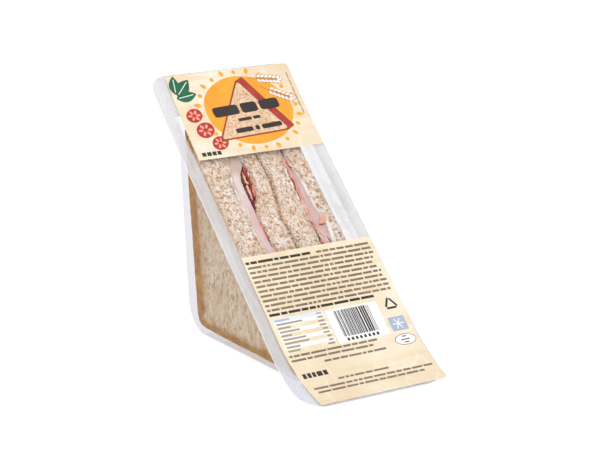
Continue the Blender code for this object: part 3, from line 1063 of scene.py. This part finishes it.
BREAD_VOXEL = 0.0006
BREAD_RELIEF = 0.00018
CUT_RELIEF = 0.00026
FILLING_SWELL = 0.00034
CRUST_GROWTH = 0.00028
GROOVE_WIDTH = 0.0009
GROOVE_DEPTH = 0.0006
EDGE_ROLL = 0.0007


def shape_bread(points, normals, rows, sides):
    """The slice's relief: pores at the cut, swells beside the filling, and a groove between the halves."""
    outer, filling, other = sides
    under = np.clip(-CUT_DEPTH - points[:, 2], 0, 1)
    at_cut = np.clip((0.0015 - under) / 0.0012, 0, 1) * (normals[:, 2] > 0.5)
    push = np.array([crumb_height(p) for p in points])
    distance = crust_distance(points)
    beside = (np.abs(normals[:, 0]) > 0.5) * (side_distance(rows, points, filling) < 0.004)
    swell = FILLING_SWELL * beside * np.exp(-under / 0.008)
    growth = CRUST_GROWTH * np.exp(-distance / 0.0015) * np.clip(under / 0.004, 0, 1)
    points = points + normals * ((BREAD_RELIEF + CUT_RELIEF * at_cut) * push + swell + growth)[:, None]
    groove = np.zeros(len(points))
    if other:
        ragged = np.array([ripple(3.0, p[1] * 420, outer) for p in points])
        wide = GROOVE_WIDTH + 0.0005 * ragged
        groove = np.exp(-((side_distance(rows, points, other) / wide) ** 2))
        points[:, 2] -= GROOVE_DEPTH * groove * np.exp(-under / 0.0013)
    if outer < 0:
        near = np.exp(-side_distance(rows, points, 1) / 0.002)
        points[:, 0] += EDGE_ROLL * near * np.exp(-under / 0.005)
    # The pits' depth is passed on as their share of painted shade.
    return points, {"under": under, "cut": at_cut, "distance": distance, "groove": groove, "pore_shade": -push}


# How far full crust reaches over the slice's face at the back and the base, and round the crust itself,
# and the distances over which it then fades.
BACK_CRUST, BASE_CRUST, ROUND_CRUST = 0.0080, 0.0040, 0.0024
BACK_FADE, BASE_FADE, ROUND_FADE = 0.0030, 0.0022, 0.0013
CRUST_WANDER = 0.0014


def crust_share(points, on_face, facts):
    """How much of the crust's colour each point has: real crust, and painted shade in the groove and up the
    face.
    """
    patchy = np.array([ripple(p[1] * 110, p[2] * 110, p[0] * 30) for p in points])
    broken = np.array([ripple(p[1] * 420, p[2] * 420, p[0] * 90) for p in points])
    low = points[:, 1] < SLICE_CORNER[0]
    solid = np.where(on_face > 0, np.where(low, BASE_CRUST, BACK_CRUST), ROUND_CRUST)
    solid = solid + CRUST_WANDER * (patchy + broken)
    fade = np.where(on_face > 0, np.where(low, BASE_FADE, BACK_FADE), ROUND_FADE)
    crust = np.exp(-np.clip(facts["distance"] - solid, 0, 1) / fade)
    crust *= np.where(facts["cut"] > 0.5, 0.35, 1.0)
    # Painted shade: the groove between the halves takes the crust's colour.
    crust = np.maximum(crust, facts["groove"] * np.clip(0.30 + 0.9 * patchy, 0, 0.8))
    # Painted shade: the face takes more of the crust's colour the higher up the lid it is.
    return np.maximum(crust, on_face * np.clip((points[:, 1] - 0.010) / 0.12, 0, 0.30))


def make_bread(look):
    """The slices, each with its outer face's way, its side to the filling and its side to the other half."""
    for node, *sides in BREAD_SIDES:
        made = remeshed(node + "_crumb", node, BREAD_VOXEL, look)
        points, normals = vertex_arrays(made.data)
        points, facts = shape_bread(points, normals, cut_edges(node), sides)
        put_points(made.data, points)
        on_face = np.clip((normals[:, 0] * sides[0] - 0.1) / 0.3, 0, 1)
        on_face *= np.clip((facts["under"] - 0.0008) / 0.002, 0, 1)
        set_attribute(made.data, "crust", np.clip(crust_share(points, on_face, facts), 0, 1))
        set_attribute(made.data, "pore_shade", np.clip(facts["pore_shade"], 0, 1))
        # The groove between the halves takes the face's darker crumb as painted shade.
        set_attribute(made.data, "face", np.clip(on_face + 0.8 * facts["groove"], 0, 1))
        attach(made, "root")
        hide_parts(node)


def crumb_height(p):
    """Crumb relief from -1 to 1: swells, grains and open pores."""
    place = Vector((float(p[0]), float(p[1]), float(p[2])))
    swell = noise.noise(place * 240)
    grain = noise.noise(place * 620)
    cell = noise.voronoi(place * 330)[0][0]
    return 0.7 * swell + 0.7 * grain - 1.6 * max(0.0, 0.34 - cell) / 0.34


FILLING_RELIEF = 0.00012
TAN_REACH = 0.006


def make_filling(nodes, look, voxel, tan_from=1.0):
    """Even copies of flat layers with a faint relief; above tan_from the meat turns a dull tan."""
    for node in nodes:
        made = remeshed(node + "_fine", node, voxel, look)
        points, normals = vertex_arrays(made.data)
        push = np.array([ripple(p[0] * 200, p[1] * 160, p[2] * 160) for p in points])
        put_points(made.data, points + normals * (FILLING_RELIEF * push)[:, None])
        set_attribute(made.data, "tan", np.clip((points[:, 1] - tan_from) / TAN_REACH, 0, 0.75))
        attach(made, "root")
        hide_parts(node)


SMEAR_SIDES = 9


def smear(name, node, line, widest, seed, look):
    """Thin sauce pressed out along a seam at the cut: a low bead that swells, thins and breaks off."""
    rings = []
    for u, v in line:
        swell = ripple(v * 260, seed, 0.0) + 0.6 * ripple(v * 700, seed, 9.0)
        half = widest / 2 * max(0.06, min(1.0, 0.45 + 0.9 * swell))
        shift = 0.0005 * ripple(v * 330, seed, 4.0)
        high = min(0.00055, 0.2 * widest + 0.35 * half)
        ring = []
        for angle in np.linspace(0, 2 * math.pi, SMEAR_SIDES, endpoint=False):
            depth = -CUT_DEPTH - 0.0003 + high * math.sin(angle)
            ring.append((u + shift + half * math.cos(angle), v, depth))
        rings.append(ring)
    made = add_tube(name, rings, look)
    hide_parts(node)


def make_smears(look):
    for name, node, side, high, low, widest in (
        ("sauce_a_smear", "sauce_a", 1, 0.060, -0.012, 0.0014),
        ("sauce_b_inner_smear", "sauce_b_inner", 1, 0.0425, 0.018, 0.0020),
        ("sauce_b_outer_smear", "sauce_b_outer", 2, 0.036, -0.012, 0.0010),
        ("sauce_b_streak", "sauce_b_outer", 2, 0.0115, -0.0085, 0.0022),
    ):
        rows = cut_edges(node)
        line = [(edge_at(rows, v, side), v) for v in np.arange(high, low, -0.0005)]
        smear(name, node, line, widest, 3.1 * side + high * 100, look)


BEAD_SIDES = 10
BEAD_TOP = 0.0635
BEAD_END = -0.0165
BEAD_STEP = 0.00035
BEAD_HALF_HEIGHT = 0.0008


def bead(name, node, side, half, sink, look, crust=0.0):
    """A ragged bead that fills the groove along a seam at the cut, from one side of a layer."""
    rows = cut_edges(node)
    rings = []
    for v in np.arange(BEAD_TOP, BEAD_END, -BEAD_STEP):
        u = edge_at(rows, v, side)
        wide = half * (1.0 + 0.45 * ripple(v * 1500, u * 200, 1.0))
        shift = 0.00035 * ripple(v * 900, u * 200, 5.0)
        rise = 0.00022 * ripple(v * 1300, u * 200, 9.0)
        ring = []
        for angle in np.linspace(0, 2 * math.pi, BEAD_SIDES, endpoint=False):
            rough = 1.0 + 0.25 * ripple(v * 2100, 3 * angle, 2.0)
            across = wide * rough * math.cos(angle)
            depth = BEAD_HALF_HEIGHT * (rough * math.sin(angle) - 1.0) + rise - CUT_DEPTH - sink
            ring.append((u + shift + across, v, min(-CUT_DEPTH + 0.0001, depth)))
        rings.append(ring)
    made = add_tube(name, rings, look)
    set_attribute(made.data, "crust", np.full(len(made.data.vertices), crust))


def make_beads(bread, ham_a, ham_b):
    for name, node, side, half, sink, crust in (
        ("seam_crumb_a", "bread_outer_a", 2, 0.0005, 0.00025, 0.0),
        ("seam_crumb_inner_a", "bread_inner_a", 1, 0.0005, 0.00025, 0.0),
        # Painted shade: the middle bead is mostly crust colour, to darken the groove between the halves.
        ("seam_shaded_crumb_middle", "bread_inner_a", 2, 0.0008, 0.0009, 0.85),
        ("seam_crumb_inner_b", "bread_inner_b", 2, 0.0005, 0.00025, 0.0),
        ("seam_crumb_b", "bread_outer_b", 1, 0.0005, 0.00025, 0.0),
    ):
        bead(name, node, side, half, sink, bread, crust)
    for name, node, side, look in (
        ("ham_lip_a", "ham_a", 1, ham_a),
        ("ham_lip_inner_a", "ham_a", 2, ham_a),
        ("ham_lip_inner_b", "ham_b", 1, ham_b),
        ("ham_lip_b", "ham_b", 2, ham_b),
    ):
        bead(name, node, side, 0.0007, 0.0004, look)


SEAMS = (
    ("bread_outer_a", 2),
    ("bread_inner_a", 1),
    ("bread_inner_a", 2),
    ("bread_inner_b", 1),
    ("bread_inner_b", 2),
    ("bread_outer_b", 1),
)
CRUMBS_A_SEAM = 150


def make_crumbs(look):
    """Loose crumbs along the seams between the layers, joined in one mesh."""
    rng = random.Random(21)
    mesh = bmesh.new()
    for node, side in SEAMS:
        rows = cut_edges(node)
        for _ in range(CRUMBS_A_SEAM):
            v = rng.uniform(-0.016, 0.062)
            u = edge_at(rows, v, side) + rng.gauss(0.0, 0.0006)
            size = rng.uniform(0.00022, 0.00055)
            angle = rng.uniform(0, 6.28)
            turn = Matrix.Rotation(angle, 4, Vector((rng.random(), rng.random(), rng.random() + 0.1)))
            shape = Matrix.Diagonal((size, size * rng.uniform(0.5, 0.9), size * rng.uniform(0.4, 0.7), 1.0))
            place = LID @ Matrix.Translation((u, v, -CUT_DEPTH - 0.0001 + 0.2 * size)) @ turn @ shape
            made = bmesh.ops.create_icosphere(mesh, subdivisions=1, radius=1.0, matrix=place)
            for vertex in made["verts"]:
                vertex.co += Vector([rng.uniform(-0.15, 0.15) * size for _ in range(3)])
    data = bpy.data.meshes.new("loose_crumbs")
    mesh.to_mesh(data)
    mesh.free()
    data.materials.append(look)
    data.shade_smooth()
    place_object("loose_crumbs", data)


def smooth_path(points, spacing):
    """Points evenly along a smooth curve through the given ones."""
    knots = [2 * np.array(points[0]) - np.array(points[1]), *map(np.array, points)]
    knots.append(2 * np.array(points[-1]) - np.array(points[-2]))
    fine = []
    for a, b, c, d in zip(knots, knots[1:], knots[2:], knots[3:]):
        for t in np.linspace(0, 1, 12, endpoint=False):
            square, cube = 2 * a - 5 * b + 4 * c - d, 3 * b - a - 3 * c + d
            fine.append(0.5 * (2 * b + (c - a) * t + square * t**2 + cube * t**3))
    fine.append(knots[-2])
    fine = np.array(fine)
    lengths = np.concatenate([[0], np.cumsum(np.linalg.norm(np.diff(fine, axis=0), axis=1))])
    steps = np.linspace(0, lengths[-1], max(4, round(lengths[-1] / spacing)))
    return np.stack([np.interp(steps, lengths, fine[:, k]) for k in (0, 1)], axis=1)


RASHER_LEVELS = 26
RASHER_MARGIN = 0.0055


def rasher(name, path, thick, top, deep, look, seed, node):
    """A folded slice seen edge on at the cut, whose edge follows path and which runs down to deep."""
    line = smooth_path(path, 0.3) * MM
    count = len(line)
    ahead = np.gradient(line, axis=0)
    ahead /= np.linalg.norm(ahead, axis=1)[:, None]
    out = np.stack([-ahead[:, 1], ahead[:, 0]], axis=1)
    rings = []
    for i in range(count):
        sway = 0.00035 * ripple(i * 0.09, seed, 2.0)
        place = line[i] + out[i] * sway
        uneven = 1.0 + 0.7 * ripple(i * 0.16, seed, 0.0)
        ragged = 0.0008 * ripple(i * 0.13, seed, 5.0)
        taper = min(1.0, 0.3 + min(i, count - 1 - i) / 6)
        half = thick * MM / 2 * uneven * taper
        reach = min(deep * MM, crust_depth(place[1]) - RASHER_MARGIN) - top * MM
        left, right = [], []
        for k in range(RASHER_LEVELS):
            share = (k / (RASHER_LEVELS - 1)) ** 1.8
            depth = min(-0.0022, -(top * MM) + ragged) - share * reach
            drift = 0.0007 * share * ripple(place[1] * 120, depth * 160, seed)
            narrow = half * (0.5 if k == 0 else 0.88 if k == 1 else 1.0)
            left.append((place[0] + out[i][0] * narrow + drift, place[1] + out[i][1] * narrow, depth))
            right.append((place[0] - out[i][0] * narrow + drift, place[1] - out[i][1] * narrow, depth))
        rings.append([*left, *reversed(right)])
    made = add_tube(name, rings, look)
    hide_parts(node)
    return made


# Rashers at the cut, each as the kind of its edge, its thickness, its depth at the cut and its line from
# above, all in millimetres. The kinds are in BACON_TONES.
UPPER_A = (
    (
        "dark", 3.2, 3.8,
        (
            (-9.4, 46.4), (-9.8, 42.0), (-10.4, 37.0),
            (-11.0, 32.0), (-12.2, 26.5), (-13.2, 22.0),
        ),
    ),
    ("dark", 0.9, 2.7, ((-11.4, 44.6), (-12.5, 41.4), (-12.9, 38.0), (-11.4, 36.2))),
    ("tan", 1.3, 2.8, ((-11.0, 44.4), (-11.1, 40.0), (-10.6, 36.6))),
    ("lean", 1.0, 2.7, ((-8.5, 47.8), (-9.5, 43.0), (-9.2, 38.8), (-9.8, 35.2))),
    ("pale", 0.8, 2.9, ((-7.7, 44.0), (-8.1, 41.0))),
    ("salmon", 0.7, 2.7, ((-8.1, 48.2), (-6.3, 46.1), (-6.0, 42.4), (-6.9, 38.2))),
    ("tan", 1.2, 3.0, ((-7.5, 40.4), (-7.9, 37.0))),
    ("dark", 0.9, 2.8, ((-13.2, 35.6), (-13.2, 31.2), (-13.6, 25.4))),
    ("pink", 1.2, 3.0, ((-11.8, 36.2), (-11.4, 31.5), (-12.6, 26.8))),
    ("lean", 0.7, 2.7, ((-9.8, 35.6), (-10.3, 31.7), (-10.9, 27.0))),
    ("salmon", 0.7, 2.7, ((-6.9, 37.0), (-7.7, 33.0), (-9.4, 28.0), (-12.2, 22.0))),
    ("pink", 1.3, 3.0, ((-7.9, 36.4), (-10.0, 29.0))),
    ("lean", 0.8, 2.8, ((-11.6, 27.4), (-12.9, 21.0))),
)
LOWER_A = (
    ("orange", 0.9, 2.7, ((-14.2, 13.2), (-13.8, 9.0), (-13.7, 5.0), (-14.0, 0.8))),
    ("lean", 0.4, 2.8, ((-13.8, 9.6), (-13.4, 5.0), (-13.6, 0.6))),
    (
        "salmon", 1.2, 2.85,
        (
            (-13.4, -2.0), (-13.0, -6.0), (-12.7, -10.0),
            (-12.8, -15.0), (-13.4, -22.0), (-13.3, -44.0),
        ),
    ),
    ("salmon", 1.5, 2.75, ((-12.6, -8.4), (-10.8, -9.4), (-9.1, -10.6))),
)
UPPER_B = (
    ("char", 0.8, 3.4, ((17.0, 53.6), (16.4, 50.8), (15.8, 48.4))),
    ("salmon", 1.9, 2.7, ((15.7, 48.6), (15.7, 46.1), (16.1, 43.6), (16.4, 40.8))),
    ("rust", 0.4, 2.6, ((16.4, 47.4), (17.2, 44.0), (18.9, 42.2))),
    (
        "salmon", 1.4, 2.7,
        (
            (16.2, 42.2), (16.5, 37.6), (16.4, 31.7), (15.9, 26.3),
            (15.2, 20.1), (15.2, 14.0), (15.5, 8.0),
        ),
    ),
    ("rust", 0.4, 2.6, ((15.8, 37.4), (15.6, 32.4), (15.1, 27.4), (14.9, 22.4))),
    ("pink", 0.7, 2.9, ((17.1, 38.0), (17.1, 30.0), (16.6, 23.0), (16.2, 14.0))),
    ("salmon", 1.6, 2.7, ((15.3, 7.2), (16.2, 3.8), (17.6, 1.2))),
    ("tan", 0.5, 2.6, ((15.7, 6.0), (16.5, 3.6), (17.2, 2.2))),
)
LOWER_B = (
    ("char", 1.6, 3.2, ((15.0, 1.2), (15.2, -1.0), (15.8, -3.0))),
    ("tan", 1.3, 2.7, ((16.1, 0.2), (16.7, -1.4), (17.4, -2.7))),
    ("rust", 0.4, 2.65, ((16.8, 0.8), (17.5, -0.8), (18.2, -2.2))),
    ("salmon", 2.6, 2.65, ((15.4, -3.4), (17.0, -4.2), (18.8, -5.6))),
    (
        "salmon", 2.2, 2.75,
        (
            (15.2, -6.4), (15.4, -10.0), (15.6, -13.0),
            (15.6, -20.0), (15.8, -34.0), (15.6, -48.0),
        ),
    ),
    ("salmon", 1.8, 2.75, ((17.6, -6.0), (17.6, -10.0), (17.0, -15.0))),
    ("char", 0.4, 2.6, ((20.0, -1.8), (20.1, -4.6), (19.9, -8.0), (19.6, -12.0))),
)
FLAP_B = (
    ("blush", 2.6, 2.3, ((18.6, 6.6), (20.6, 7.8), (22.4, 9.6), (24.0, 11.6))),
    ("blush", 2.0, 2.35, ((20.0, 6.4), (22.2, 7.2), (24.0, 9.4))),
    # Painted shadow: the thin rust line along the flap's lower edge.
    ("rust", 0.35, 2.1, ((18.2, 5.6), (20.4, 5.4), (23.0, 6.3))),
    ("salmon", 0.6, 2.15, ((18.5, 6.2), (19.6, 7.8), (21.2, 9.6))),
)


# Each kind of edge: the name of its look, then its dark, middle and pale tones.
BACON_TONES = {
    "lean": ("bacon lean", (128, 8, 20), (168, 24, 32), (206, 72, 64)),
    "dark": ("bacon inside", (64, 8, 8), (92, 16, 12), (128, 40, 28)),
    "char": ("bacon crisp", (84, 42, 20), (118, 66, 34), (152, 94, 54)),
    "blush": ("ham flap", (222, 160, 144), (238, 188, 170), (248, 212, 196)),
    "salmon": ("bacon fat", (214, 126, 110), (232, 162, 142), (244, 200, 180)),
    # Rust is a real rim on the rashers, and painted shadow under the ham flap.
    "rust": ("bacon rim", (150, 62, 40), (178, 84, 58), (206, 120, 88)),
    "pale": ("bacon white", (236, 216, 206), (246, 232, 224), (252, 244, 238)),
    "orange": ("bacon edge", (200, 92, 62), (222, 124, 88), (236, 164, 128)),
    "pink": ("bacon middle", (206, 120, 108), (230, 172, 152), (246, 214, 192)),
    "tan": ("bacon rind", (206, 150, 98), (234, 190, 138), (250, 218, 172)),
}
BACON_DEPTH = 38.0
FLAP_DEPTH = 4.6


def make_bacon():
    """Every rasher at the cut, and the flap of ham on the right half."""
    looks = {kind: bacon_look(*tones) for kind, tones in BACON_TONES.items()}
    seed = 0.0
    for node, pieces, deep in (
        ("bacon_a_upper", UPPER_A, BACON_DEPTH),
        ("bacon_a_lower", LOWER_A, BACON_DEPTH),
        ("bacon_b_upper", UPPER_B, BACON_DEPTH),
        ("bacon_b_lower", LOWER_B, BACON_DEPTH),
        ("ham_b", FLAP_B, FLAP_DEPTH),
    ):
        for i, (kind, thick, top, path) in enumerate(pieces):
            seed += 3.7
            rasher(f"{node}_{kind}_{i}", path, thick, top, deep, looks[kind], seed, node)


# Stage


FLOOR_HALF = 6.0
FLOOR_GLOW = 0.92
WORLD_STRENGTH = 0.90
AIM = Vector((0, 0, 0.06))

# Each light's name, place, size and power.
LIGHTS = (
    ("key", (-0.3, -1.3, 1.4), 1.2, 6.5),
    ("fill", (-1.3, -0.3, 0.42), 1.0, 3.6),
    ("back", (0.4, 1.4, 1.2), 1.0, 4.0),
)


def make_floor():
    """A pale floor that glows a little, so that it is evenly white, as the photograph's ground is."""
    look = Look("pale floor")
    tone = look.ramp(look.noise(2.0, 2.0), (0.3, 0.16), (0.7, 0.18))
    look.set(base_color=tone, roughness=0.9)
    look.set(emission_color=(1.0, 1.0, 1.0, 1.0), emission_strength=FLOOR_GLOW)
    data = bpy.data.meshes.new("floor")
    corners = ((-1, -1), (1, -1), (1, 1), (-1, 1))
    data.from_pydata([(x * FLOOR_HALF, y * FLOOR_HALF, 0) for x, y in corners], [], [(0, 1, 2, 3)])
    data.materials.append(look.material)
    floor = bpy.data.objects.new("floor", data)
    bpy.context.scene.collection.objects.link(floor)


def make_lights():
    world = bpy.data.worlds.new("studio")
    world.use_nodes = True
    world.node_tree.nodes["Background"].inputs["Color"].default_value = (1.0, 1.0, 1.0, 1.0)
    world.node_tree.nodes["Background"].inputs["Strength"].default_value = WORLD_STRENGTH
    bpy.context.scene.world = world
    for name, place, size, power in LIGHTS:
        light = bpy.data.lights.new(name, "AREA")
        light.size = size
        light.energy = power
        made = bpy.data.objects.new(name, light)
        made.location = place
        made.rotation_euler = (AIM - Vector(place)).to_track_quat("-Z", "Y").to_euler()
        bpy.context.scene.collection.objects.link(made)


def make_camera():
    camera = bpy.data.objects.new("camera", bpy.data.cameras.new("camera"))
    camera.data.lens = CAMERA_LENS
    camera.data.sensor_width = 36.0
    camera.location = LID @ Vector((0.0, 0.0, 0.0)) + CAMERA_OFFSET
    camera.rotation_euler = [math.radians(a) for a in CAMERA_ANGLES]
    bpy.context.scene.collection.objects.link(camera)
    bpy.context.scene.camera = camera
    bpy.context.scene.view_settings.view_transform = "Standard"


make_camera()
make_floor()
make_lights()
make_tray()
make_film()
make_print()
bread_look = crumb_look()
make_bread(bread_look)
make_crumbs(bread_look)
ham_a = ham_look("ham left", (216, 186, 182), (229, 205, 201), (241, 224, 219))
# The right half's ham: the left's tones painted a shade darker.
ham_b = ham_look("ham right", (198, 164, 160), (214, 184, 180), (228, 204, 199))
make_filling(("ham_a",), ham_a, 0.0004, 0.041)
make_filling(("ham_b",), ham_b, 0.0004, 0.042)
make_beads(bread_look, ham_a, ham_b)
make_bacon()
dressing = sauce_look()
make_filling(("sauce_a", "sauce_b_inner", "sauce_b_outer"), dressing, 0.00035)
make_smears(dressing)
